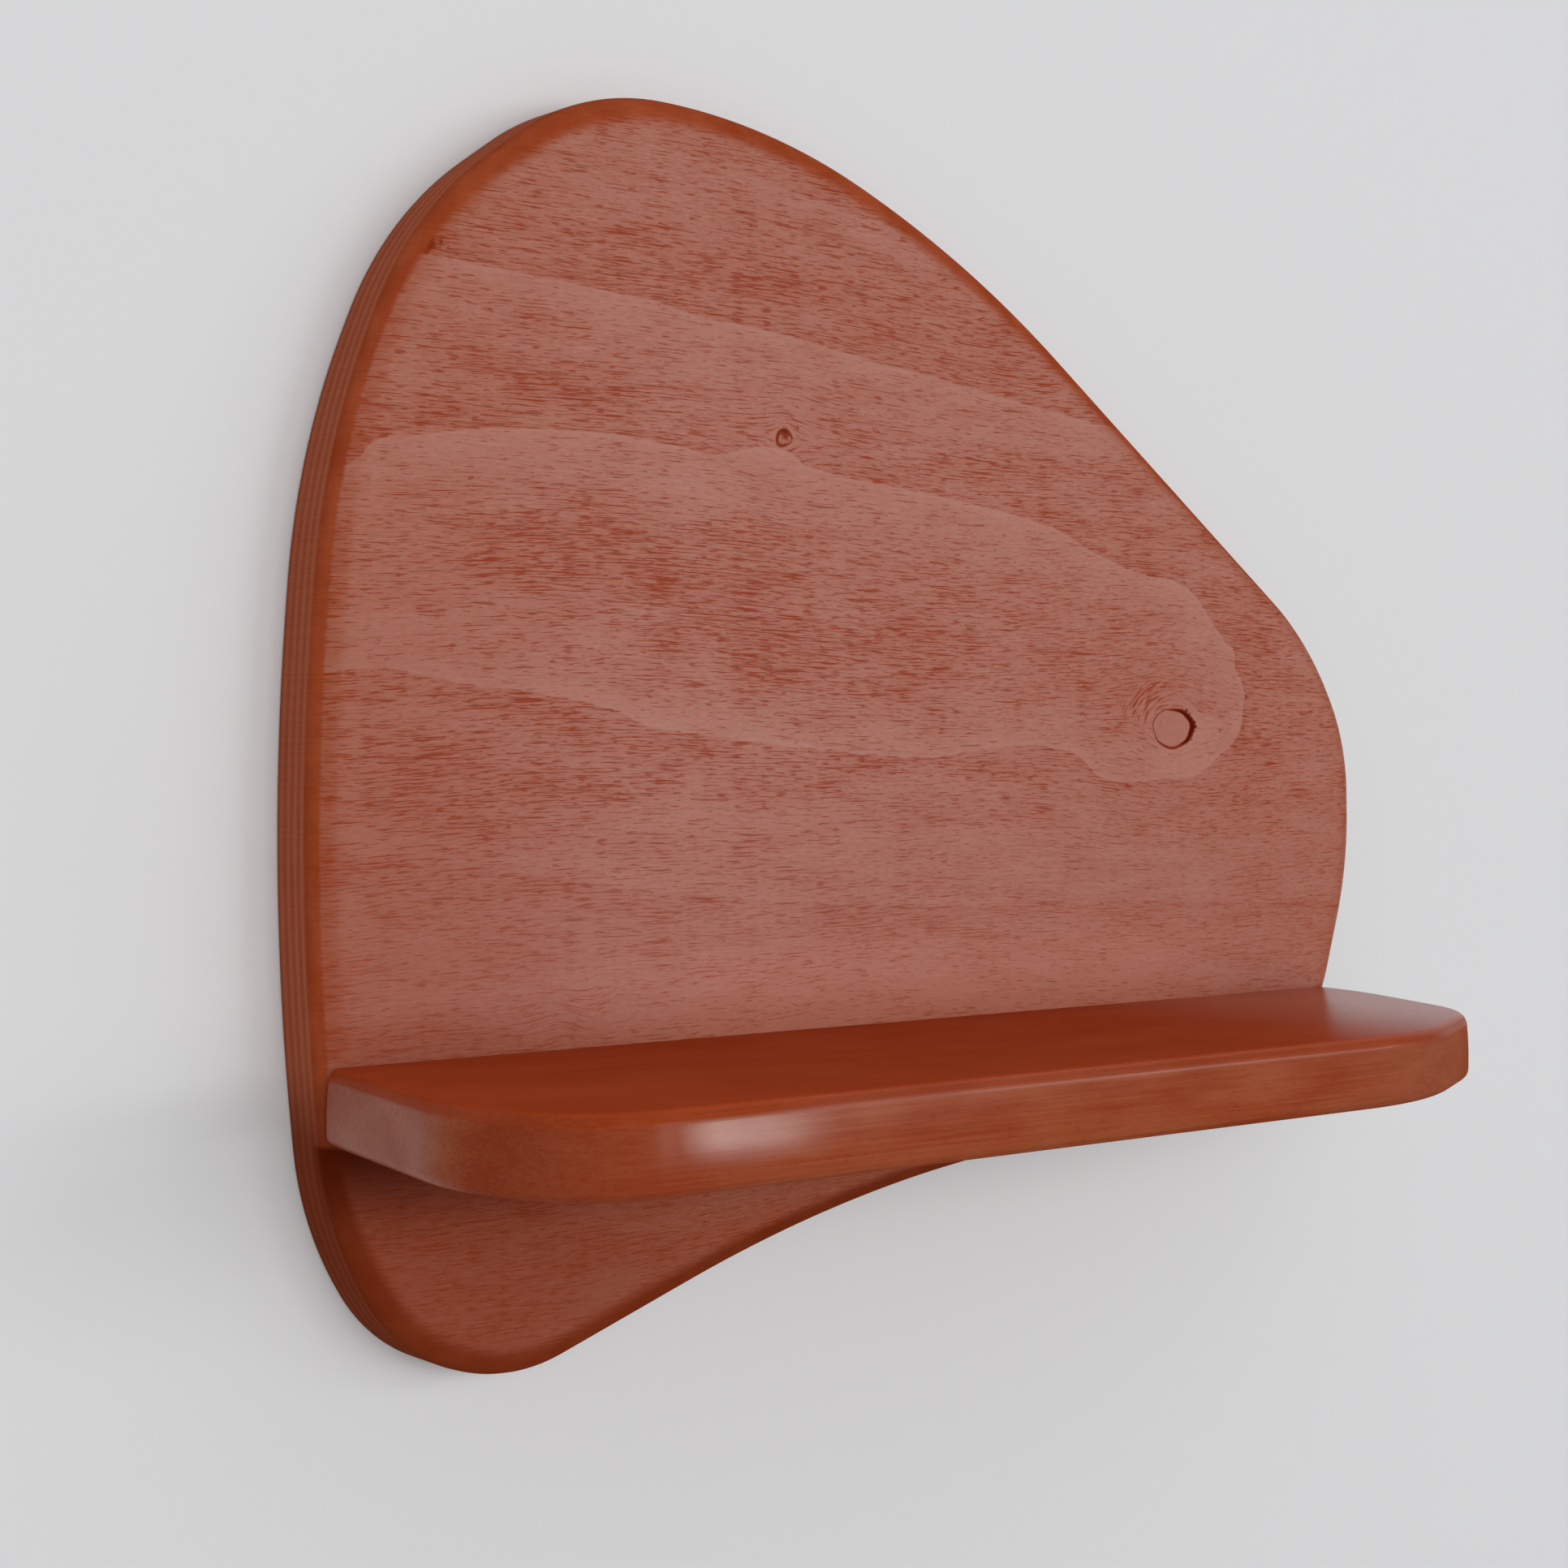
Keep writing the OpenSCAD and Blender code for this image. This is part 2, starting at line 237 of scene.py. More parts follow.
def capsule(x, z_low, z_high, radius, y_from, y_to, sides=24):
    """An upright slot with round ends, cut along Y."""
    up = np.linspace(0, math.pi, sides)
    ring = [(x + radius * math.cos(a), z_high + radius * math.sin(a)) for a in up]
    ring += [(x - radius * math.cos(a), z_low - radius * math.sin(a)) for a in up]
    count = len(ring)
    points = [(px, y, pz) for y in (y_from, y_to) for px, pz in ring]
    faces = [tuple(range(count)), tuple(reversed(range(count, 2 * count)))]
    for i in range(count):
        j = (i + 1) % count
        faces.append((i, count + i, count + j, j))
    return points, faces


def carve(thing, *shapes):
    """Cuts closed shapes, given as (points, faces), out of an object."""
    for points, faces in shapes:
        tool = mesh_object("tool", points, faces)
        weld(tool)
        cut = thing.modifiers.new("cut", "BOOLEAN")
        cut.operation = "DIFFERENCE"
        cut.solver = "MANIFOLD"
        cut.object = tool
        apply_modifiers(thing)
        bpy.data.objects.remove(tool)


def apply_modifiers(thing):
    """Makes the modified shape the object's own mesh, without the cutting tools' materials."""
    graph = bpy.context.evaluated_depsgraph_get()
    mesh = bpy.data.meshes.new_from_object(thing.evaluated_get(graph))
    thing.modifiers.clear()
    mesh.materials.clear()
    thing.data = mesh


def smooth(thing, sharp_degrees=32):
    """Smooth shading, but for edges where faces meet at more than sharp_degrees."""
    mesh = thing.data
    mesh.polygons.foreach_set("use_smooth", [True] * len(mesh.polygons))
    mesh.set_sharp_from_angle(angle=math.radians(sharp_degrees))


# Figure of the panel's face: growth rings, knots and the flow of the grain

RING_TOP = [
    (-150, 70), (-128, 77), (-104, 88), (-82, 91), (-60, 89), (-40, 86), (-20, 83), (5, 79), (40, 74),
]
RING_HIGH = [
    (-160, 58), (-138, 57), (-120, 55.5), (-80, 53), (-60, 50), (-40, 48.5), (-20, 46), (0, 43),
    (20, 41), (40, 38), (60, 35.5), (80, 33), (110, 31),
]
RING_LOW = [
    (-190, -82), (-160, -83), (-130, -86), (-100, -90), (-60, -95), (-30, -98), (0, -99.5),
    (40, -101), (80, -101.5), (120, -103), (190, -106),
]
# The pale tongue between the two middle rings, closed round the big knot
TONGUE = [
    (-190, 4), (-163, 6), (-156, 9), (-151, 13.5), (-140, 15), (-120, 18), (-90, 19), (-70, 17.5),
    (-55, 16), (-45, 18), (-38, 19), (-30, 17.5), (-26, 15), (-15, 13), (0, 11.5), (20, 9.5),
    (40, 7), (60, 3.5), (70, 0), (80, -4), (95, -8), (110, -10), (118, -14), (124, -20),
    (130, -26.5), (134, -29), (135, -35), (138.5, -40), (138, -47), (136, -54), (128, -60),
    (118, -65.5), (100, -67), (86, -67), (78, -65), (73, -61), (66, -58), (50, -57), (30, -58.5),
    (18, -60), (0, -59.5), (-20, -58), (-40, -56), (-60, -54), (-75, -52), (-90, -47),
    (-110, -44), (-130, -42), (-150, -39), (-190, -38),
]
BIG_KNOT = (108.7, -52.0)
BIG_KNOT_HALF = (8.0, 5.5)
PIN_KNOT = (-33.3, 21.6)
PIN_KNOT_HALF = (2.5, 2.7)
NICK = (-137.2, 59.6)
# Middle and half size of the area round the nick that needs a fine mesh
NICK_AREA = (-134.2, 59.0)
NICK_AREA_HALF = (5.0, 1.6)
# Middle of a small swirl in the grain above the shelf
SWIRL = (-97, -123)
# How the grain bends round each knot: middle, half size, reach, and how fast it fades
GRAIN_BENDS = (
    (BIG_KNOT, BIG_KNOT_HALF, 38, 1.3),
    (PIN_KNOT, PIN_KNOT_HALF, 14, 1.1),
)
# Where the face's mesh is fine: middle, half size, end of the finest rings, end of the fine rings
FINE_AREAS = (
    (BIG_KNOT, BIG_KNOT_HALF, 1.5, 3.4),
    (PIN_KNOT, PIN_KNOT_HALF, 2.3, 4.5),
    (NICK_AREA, NICK_AREA_HALF, 1.6, 1.7),
)
# Paler (above 0) and more flecked (below 0) spots: x, z, half width, half height, strength. The two pale
# spots just above the shelf, at z -116 and -120, are painted light there.
TONE_SPOTS = [
    (-30, -36, 60, 14, -0.25), (-38, -12, 32, 10, -0.14), (-40, 66, 48, 9, -0.15), (30, 52, 40, 8, -0.08),
    (-110, 32, 30, 10, -0.20), (60, 20, 50, 8, -0.08), (147, -24, 6, 10, -0.25), (110, -56, 14, 9, 0.40),
    (91, -40, 12, 7, -0.25), (-125, -68, 35, 12, -0.28), (95, -92, 55, 17, 0.18), (-60, -116, 60, 8, 0.12),
    (60, -120, 90, 9, 0.25), (-110, -168, 28, 12, -0.15), (10, -78, 45, 9, 0.12), (140, -80, 25, 14, -0.08),
    (-110, 6, 40, 5, 0.12), (-95, -6, 26, 9, -0.30), (-78, -15, 28, 7, -0.22),
]


def curve_through(points, spacing=0.5, closed=False):
    """A smooth line through points (Catmull-Rom), as points about spacing apart."""
    p = np.array(points, float)
    ends = (p[-1:], p[:2]) if closed else (2 * p[:1] - p[1:2], 2 * p[-1:] - p[-2:-1])
    p = np.concatenate([ends[0], p, ends[1]])
    line = []
    for a, b, c, d in zip(p, p[1:], p[2:], p[3:]):
        t = np.linspace(0, 1, max(2, int(np.hypot(*(c - b)) / spacing)), endpoint=False)[:, None]
        line.append(0.5 * (2 * b + (c - a) * t + (2 * a - 5 * b + 4 * c - d) * t**2
                           + (3 * b - a - 3 * c + d) * t**3))
    return np.concatenate(line)


def side_distance(places, line, closed=False):
    """Distance of places to a line, positive above it or, if closed, inside it."""
    ends = np.roll(line, -1, axis=0) if closed else line[1:]
    starts = line if closed else line[:-1]
    run = ends - starts
    size = (run**2).sum(axis=1)
    found = np.empty(len(places))
    inside = np.zeros(len(places), bool)
    for at in range(0, len(places), 2000):
        p = places[at:at + 2000, None]
        t = np.clip(((p - starts) * run).sum(axis=2) / size, 0, 1)
        away = p - starts - run * t[..., None]
        square = (away**2).sum(axis=2)
        near = square.argmin(axis=1)
        row = np.arange(len(near))
        found[at:at + 2000] = np.sqrt(square[row, near])
        if closed:
            high = (starts[:, 1] > p[..., 1]) != (ends[:, 1] > p[..., 1])
            rise = np.where(run[:, 1] == 0, 1, run[:, 1])
            cross = starts[:, 0] + (p[..., 1] - starts[:, 1]) / rise * run[:, 0]
            inside[at:at + 2000] = ((high & (p[..., 0] < cross)).sum(axis=1) % 2) == 1
        else:
            side = run[near, 0] * away[row, near, 1] - run[near, 1] * away[row, near, 0]
            inside[at:at + 2000] = side > 0
    return np.where(inside, found, -found)


def around(places, middle, half):
    """Elliptic radius, 1 at the rim, and angle of places seen from a knot."""
    x, z = ((places - middle) / half).T
    return np.hypot(x, z), np.arctan2(z, x)


def hollow(places):
    """Depth in millimetres of the cracks, the chips and the nick in the face."""
    # The crack round the big knot, wide open on its right, with chips beside it
    rho, angle = around(places, BIG_KNOT, BIG_KNOT_HALF)
    rim = 1 + 0.03 * np.sin(3 * angle + 0.6) + 0.015 * np.sin(7 * angle)
    open_side = np.clip(np.cos(angle - 0.35), 0, 1)
    lower = np.clip(np.cos(angle + 1.2), 0, 1)
    width = 0.036 + 0.06 * open_side**2 + 0.03 * lower
    depth = 0.08 + 0.42 * open_side + 0.08 * lower
    ring = depth * np.exp(-(((rho - rim) / width) ** 2))
    chips = np.clip(np.sin(19 * angle) * np.sin(11 * angle + 1), 0, 1) * open_side**3
    ring += 0.35 * chips * np.exp(-(((rho - 1.17) / 0.07) ** 2))
    # The small knot: an uneven rim, a shallow dish and two pits
    rho_pin, angle = around(places, PIN_KNOT, PIN_KNOT_HALF)
    rim = 0.82 + 0.14 * np.sin(2 * angle + 1.2) + 0.06 * np.sin(3 * angle + 2)
    pin = (0.10 + 0.05 * np.sin(angle - 0.8)) * np.exp(-(((rho_pin - rim) / 0.17) ** 2))
    pin += 0.03 * np.exp(-((rho_pin / 0.85) ** 4))
    for middle, half, deep in (((-32.8, 23.0), (1.0, 1.3), 0.10), ((-28.9, 24.6), (0.6, 1.0), 0.07)):
        rho, _ = around(places, middle, half)
        pin += deep * np.exp(-(rho**2))
    # The nick beside the upper left edge: a slit, a pit and a scratch
    dx, dz = (places - NICK).T
    nick = 0.35 * np.exp(-((dx - 0.4) / 2.0) ** 2 - ((dz - 0.25 * dx) / 0.45) ** 2)
    nick += 0.3 * np.exp(-((dx + 0.6) / 0.7) ** 2 - ((dz + 0.5) / 1.1) ** 2)
    nick += 0.06 * np.exp(-((dx - 4.5) / 4.0) ** 2 - ((dz + 0.15 * dx) / 0.4) ** 2)
    return ring + pin + nick


def grain_flow(places):
    """Coordinates along and across the grain, which bends round the knots."""
    x, z = places.T
    along = x.copy()
    across = z + 1.4 * np.sin(x / 61 + z / 83) + 0.7 * np.sin(x / 27 - z / 47 + 1)
    for middle, half, reach, power in GRAIN_BENDS:
        dx, dz = x - middle[0], z - middle[1]
        rho = np.hypot(dx / half[0], dz / half[1])
        bend = 1 / (0.25 + rho**power) * np.exp(-((np.hypot(dx, dz) / reach) ** 2))
        across -= dz * bend
        along += 0.5 * dx * bend
    dx, dz = x - SWIRL[0], z - SWIRL[1]
    across += 1.6 * np.exp(-(dx / 14) ** 2 - (dz / 9) ** 2) * np.sin(dx / 4.5 + dz / 6)
    return along, across


def grid_inside(edge, spacing, keep_off):
    """A triangular grid of points inside an outline, at least keep_off from it."""
    low, high = edge.min(axis=0), edge.max(axis=0)
    rows = np.arange(low[1], high[1], spacing * math.sqrt(0.75))
    grid = []
    for number, z in enumerate(rows):
        xs = np.arange(low[0] + spacing * 0.5 * (number % 2), high[0], spacing)
        grid.append(np.stack([xs, np.full_like(xs, z)], axis=1))
    grid = np.concatenate(grid)
    return grid[side_distance(grid, edge, closed=True) > keep_off]


def knot_points(middle, half, inner, outer, spacing):
    """Fine rings of points round a knot, from the inner to the outer share of its size."""
    size = max(half)
    shares = np.arange(inner, outer, spacing / size)
    points = []
    for number, share in enumerate(shares):
        count = max(8, int(2 * math.pi * size * share / (1.6 * spacing)))
        angles = 2 * math.pi * (np.arange(count) + 0.5 * (number % 2)) / count
        ring = np.stack([np.cos(angles) * half[0], np.sin(angles) * half[1]], axis=1)
        points.append(middle + share * ring)
    return np.concatenate(points)


def tone_of(places):
    """How much paler (above 0) or more flecked (below 0) each place is, beside the growth rings."""
    tone = np.zeros(len(places))
    for x, z, wide, high, strength in TONE_SPOTS:
        dx, dz = (places[:, 0] - x) / wide, (places[:, 1] - z) / high
        tone += strength * np.exp(-(dx**2) - dz**2)
    return tone


def set_number(thing, name, values):
    """Stores one number for each point of the mesh, for its material."""
    layer = thing.data.attributes.new(name, "FLOAT", "POINT")
    layer.data.foreach_set("value", np.asarray(values, np.float32))


def set_attribute(thing, name, values):
    """Stores three numbers for each point of the mesh, for its material."""
    layer = thing.data.attributes.new(name, "FLOAT_VECTOR", "POINT")
    layer.data.foreach_set("vector", np.stack(values, axis=1).astype(np.float32).ravel())


def vertex_places(thing):
    """Places of the mesh's points in millimetres."""
    flat = np.empty(len(thing.data.vertices) * 3)
    thing.data.vertices.foreach_get("co", flat)
    return flat.reshape(-1, 3) / MM


# Boards

def panel_outline():
    """The panel's corners, scaled to its width and height."""
    wide, high = extent(PANEL_CORNERS)
    return scaled(PANEL_CORNERS, PANEL_W / wide, PANEL_H / high)


def make_panel():
    """The back panel, with its hollows and cuts, and the numbers that its material reads."""
    corners = panel_outline()
    back_ease = 0.4
    rings = [(outline(corners, back_ease), 0), (outline(corners), back_ease)]
    for below, inset in eased(PANEL_EDGE_R, PANEL_EASE):
        rings.append((outline(corners, inset), PANEL_T - below))
    face = rings[-1][0]
    grid = grid_inside(face, spacing=2.0, keep_off=1.0)
    clear = np.ones(len(grid), bool)
    fine = []
    for middle, half, near, far in FINE_AREAS:
        clear &= around(grid, middle, half)[0] > far + 0.1
        fine.append(knot_points(middle, half, 0.05, near, spacing=0.28))
        fine.append(knot_points(middle, half, near + 0.06, far, spacing=0.9))
    near_edge = outline(corners, inset=3.0, step=3.0)
    behind = np.concatenate([near_edge, grid_inside(near_edge, spacing=8.0, keep_off=3.0)])
    inside = np.concatenate([grid[clear], *fine])
    made = board("panel", rings, lambda x, z, up: (x, -up, z), inside, behind)
    places = vertex_places(made)
    on_face = places[:, 1] < -PANEL_T + 0.01
    places[on_face, 1] += hollow(places[on_face][:, [0, 2]])
    made.data.vertices.foreach_set("co", (places * MM).ravel())

    for x in SCREW_X:
        cone_y = SCREW_RIM_Y - (SCREW_HEAD_R - SCREW_SHANK_R)
        carve(made, turned([(1, SCREW_HEAD_R), (SCREW_RIM_Y, SCREW_HEAD_R), (cone_y, SCREW_SHANK_R),
                            (-PANEL_T - 1, SCREW_SHANK_R)], x, FASTENING_Z))
    for x in DOWEL_X:
        carve(made, turned([(DOWEL_IN_PANEL_Y, DOWEL_R), (-PANEL_T - 1, DOWEL_R)], x, FASTENING_Z))
    # A hanger's recess, pocket and screw holes overlap, so each starts at its own distance behind
    for x in HANGER_X:
        carve(
            made,
            capsule(x, PLATE_MIDDLE_Z - PLATE_HALF_RUN, PLATE_MIDDLE_Z + PLATE_HALF_RUN,
                    PLATE_RECESS_R, 1, PLATE_RECESS_Y),
            capsule(x, 0, SLOT_RISE, POCKET_R, 0.9, POCKET_Y),
        )
        for side in (-1, 1):
            carve(made, turned([(0.5, PLATE_SCREW_R), (PLATE_SCREW_END_Y, PLATE_SCREW_R)],
                               x, PLATE_MIDDLE_Z + side * PLATE_SCREW_REACH))
    smooth(made)

    places = vertex_places(made)
    flat = places[:, [0, 2]]
    along, across = grain_flow(flat)
    rings = [side_distance(flat, curve_through(line)) for line in (RING_TOP, RING_HIGH, RING_LOW)]
    tongue = side_distance(flat, curve_through(TONGUE, closed=True), closed=True)
    inside_knot = 1 - around(flat, BIG_KNOT, BIG_KNOT_HALF)[0]
    set_attribute(made, "grain", (along, across, hollow(flat)))
    set_attribute(made, "rings", (tongue, rings[1], rings[0]))
    set_attribute(made, "marks", (rings[2], inside_knot, tone_of(flat)))
    set_number(made, "rim", side_distance(flat, outline(corners), closed=True))
    return made


def make_shelf():
    """The shelf board. Its side leans in slightly towards the rounding of its upper edge."""
    wide, _ = extent(SHELF_CORNERS)
    deep = max(c[1] for c in SHELF_CORNERS)
    corners = scaled(SHELF_CORNERS, SHELF_W / wide, SHELF_D / deep)
    corners = [(x, -PANEL_T - forward, r) for x, forward, r in corners]
    low = list(reversed(quarter(SHELF_BOTTOM_R, 5)))
    crown_in = 0.4
    crown_from = 12
    crown_h = crown_from - SHELF_TOP_R
    round_share = 0.886
    crown = [
        (SHELF_T - below, crown_in * ((crown_from - below) / crown_h) ** 2)
        for below in (12, 9.9, 7.8, 5.6)
    ]
    high = [
        (SHELF_T - below, crown_in + round_share * inset)
        for below, inset in quarter(SHELF_TOP_R, 10)
    ]
    rings = [(outline(corners, inset), up) for up, inset in low + crown + high]
    base = SHELF_TOP_Z - SHELF_T
    face = rings[-1][0]
    inside = grid_inside(face, spacing=6.0, keep_off=3.0)
    made = board("shelf", rings, lambda x, y, up: (x, y, base + up), inside)

    # The outline runs on behind the panel's face, and is cut off flat there
    edit = bmesh.new()
    edit.from_mesh(made.data)
    everything = edit.verts[:] + edit.edges[:] + edit.faces[:]
    cut = bmesh.ops.bisect_plane(edit, geom=everything, plane_co=(0, -PANEL_T * MM, 0),
                                 plane_no=(0, 1, 0), clear_outer=True)
    rim = [e for e in cut["geom_cut"] if isinstance(e, bmesh.types.BMEdge)]
    bmesh.ops.edgeloop_fill(edit, edges=rim)
    bmesh.ops.triangulate(edit, faces=[f for f in edit.faces if len(f.verts) > 4])
    bmesh.ops.recalc_face_normals(edit, faces=edit.faces)
    edit.to_mesh(made.data)
    edit.free()
    for x in SCREW_X:
        carve(made, turned([(0, SCREW_SHANK_R), (SHANK_END_Y, SCREW_SHANK_R),
                            (SHANK_END_Y, SCREW_THREAD_R), (SCREW_END_Y, SCREW_THREAD_R)],
                           x, FASTENING_Z))
    for x in DOWEL_X:
        carve(made, turned([(0, DOWEL_R), (DOWEL_IN_SHELF_Y, DOWEL_R)], x, FASTENING_Z))
    smooth(made)
    return made


# Materials

class Shader:
    """A material's nodes, added one at a time."""

    def __init__(self, name):
        self.material = bpy.data.materials.new(name)
        self.material.use_nodes = True
        self.tree = self.material.node_tree
        self.tree.nodes.clear()

    def node(self, kind, inputs=None, **settings):
        """A node with its settings, and with each input linked or set to a value."""
        made = self.tree.nodes.new(kind)
        for key, value in settings.items():
            setattr(made, key, value)
        for key, value in (inputs or {}).items():
            socket = made.inputs[key]
            if isinstance(value, bpy.types.NodeSocket):
                self.tree.links.new(value, socket)
            else:
                socket.default_value = value
        return made

    def attribute(self, name):
        """The three numbers that the mesh keeps under a name."""
        found = self.node("ShaderNodeAttribute", attribute_name=name, attribute_type="GEOMETRY")
        return self.split(found.outputs["Vector"])

    def number(self, name):
        """The one number that the mesh keeps under a name."""
        found = self.node("ShaderNodeAttribute", attribute_name=name, attribute_type="GEOMETRY")
        return found.outputs["Fac"]

    def total(self, *terms):
        """Sum of value * weight for (value, weight) terms, plus plain numbers."""
        base = sum(t for t in terms if not isinstance(t, tuple))
        found = base
        for value, weight in (t for t in terms if isinstance(t, tuple)):
            inputs = {0: value, 1: weight, 2: found}
            found = self.node("ShaderNodeMath", inputs, operation="MULTIPLY_ADD").outputs[0]
        return found

    def product(self, first, *others):
        """All the values multiplied together."""
        for other in others:
            first = self.math("MULTIPLY", first, other)
        return first

    def split(self, vector):
        return self.node("ShaderNodeSeparateXYZ", {0: vector}).outputs

    def join(self, x=0.0, y=0.0, z=0.0):
        return self.node("ShaderNodeCombineXYZ", {0: x, 1: y, 2: z}).outputs[0]

    def spread(self, operation, parts, sizes):
        """A place whose parts are multiplied or divided by sizes, one by one."""
        return self.join(*[self.math(operation, part, size) for part, size in zip(parts, sizes)])

    def math(self, operation, a, b):
        return self.node("ShaderNodeMath", {0: a, 1: b}, operation=operation).outputs[0]

    def step(self, value, low, high, to_low=0.0, to_high=1.0):
        """Rises smoothly from to_low to to_high while value goes from low to high."""
        inputs = {
            "Value": value, "From Min": low, "From Max": high, "To Min": to_low, "To Max": to_high,
        }
        return self.node("ShaderNodeMapRange", inputs, interpolation_type="SMOOTHSTEP").outputs[0]

    def curve(self, value, stops):
        """A level or colour along stops [(value, level or colour), ...]."""
        low, high = stops[0][0], stops[-1][0]
        place = self.node("ShaderNodeMapRange", {"Value": value, "From Min": low, "From Max": high})
        ramp = self.node("ShaderNodeValToRGB", {"Fac": place.outputs[0]})
        elements = ramp.color_ramp.elements
        while len(elements) > 1:
            elements.remove(elements[-1])
        for number, (at, level) in enumerate(stops):
            share = (at - low) / (high - low)
            element = elements[0] if number == 0 else elements.new(share)
            element.position = share
            element.color = level if isinstance(level, tuple) else (level, level, level, 1)
        return ramp.outputs["Color"]

    def mix(self, factor, a, b):
        """Goes from a to b as factor goes from 0 to 1."""
        inputs = {"Factor": factor, 6: a, 7: b}
        return self.node("ShaderNodeMix", inputs, data_type="RGBA", clamp_factor=True).outputs[2]

    def noise(self, vector, detail=2.0, roughness=0.5):
        """Noise with spots about one unit of the vector wide."""
        inputs = {"Vector": vector, "Scale": 1.0, "Detail": detail, "Roughness": roughness}
        return self.node("ShaderNodeTexNoise", inputs, noise_dimensions="3D").outputs[0]

    def bump(self, height, distance, strength):
        """A normal for relief that is distance metres high."""
        inputs = {"Height": height, "Distance": distance, "Strength": strength}
        return self.node("ShaderNodeBump", inputs).outputs[0]

    def finish(self, inputs):
        """Ends the material with a Principled surface and returns it."""
        surface = self.node("ShaderNodeBsdfPrincipled", inputs)
        self.node("ShaderNodeOutputMaterial", {"Surface": surface.outputs[0]})
        return self.material


def srgb(red, green, blue):
    """A colour given as 0 to 255 on screen."""
    levels = [c / 255 for c in (red, green, blue)]
    return (*[c / 12.92 if c < 0.04045 else ((c + 0.055) / 1.055) ** 2.4 for c in levels], 1)


def millimetres(s):
    """The place on the object, as x, y and z in millimetres."""
    inputs = {0: s.node("ShaderNodeTexCoord").outputs["Object"], 1: (1000, 1000, 1000)}
    return s.split(s.node("ShaderNodeVectorMath", inputs, operation="MULTIPLY").outputs[0])


# Colours of the panel as they show on screen
GROUND = [
    (0.0, srgb(155, 68, 37)), (0.3, srgb(158, 79, 52)),
    (0.6, srgb(161, 92, 70)), (1.0, srgb(168, 105, 87)),
]
WARM_FACE = srgb(148, 66, 38)
# Painted light for the face just above the shelf
PAINTED_LIGHT_ABOVE_SHELF = srgb(188, 108, 82)
DASH = srgb(143, 50, 14)
KNOT_WOOD = srgb(158, 86, 66)
# Painted shade for the face below the shelf
PAINTED_SHADE_BELOW_SHELF = srgb(112, 44, 26)
CRACK = srgb(126, 40, 10)
CRACK_DEPTH = srgb(84, 22, 4)
PLY_DARK = srgb(148, 69, 44)
PLY_PALE = srgb(167, 95, 69)
ORANGE_DARK = srgb(144, 57, 24)
ORANGE_PALE = srgb(158, 72, 39)
# Painted shade for the edge below the shelf
PAINTED_SHADE_EDGE = srgb(92, 28, 6)
# Painted shadow under the shelf
PAINTED_SHADOW_UNDER_SHELF = srgb(80, 24, 6)
BARE_DARK = srgb(176, 132, 92)
BARE_PALE = srgb(212, 176, 134)

# Colours of the shelf board
SIDE_DARK = srgb(139, 58, 30)
SIDE_PALE = srgb(153, 80, 50)
# Painted shade for the side's front bend
PAINTED_SHADE_BEND = srgb(132, 44, 20)
# Painted sheen for the side towards the right
SIDE_PAINTED_SHEEN = srgb(146, 92, 72)
TOP_DARK = srgb(160, 62, 27)
TOP_PALE = srgb(170, 70, 36)
ROUNDED_DARK = srgb(142, 54, 20)
ROUNDED_PALE = srgb(154, 66, 32)
SPECKLE = srgb(104, 28, 8)

# How much paler (above 0) or darker (below 0) the wood is, by millimetres from each growth ring
TONGUE_LIFT = [
    (-24, 0), (-8, -0.05), (-1.5, -0.16), (-0.3, -0.2), (0.15, 0.55), (1.3, 0.36), (6, 0.2),
    (15, 0.03), (24, -0.06),
]
RING_HIGH_LIFT = [
    (-24, 0), (-14, -0.08), (-4, -0.16), (-0.4, -0.24), (0.15, 0.50), (1.3, 0.33), (6, 0.17),
    (15, 0.03), (24, 0),
]
RING_TOP_LIFT = [(-24, 0), (-8, -0.04), (-0.5, -0.1), (0.2, 0.20), (2, 0.16), (8, 0.06), (24, 0)]
RING_LOW_LIFT = [
    (-24, 0), (-9, -0.04), (-1, -0.12), (-0.2, -0.24), (0.4, -0.1), (1.4, 0.12), (8, 0.06), (24, 0),
]
# Distance between the faint ply lines on the panel's edge
PLY_STEP = 3.27


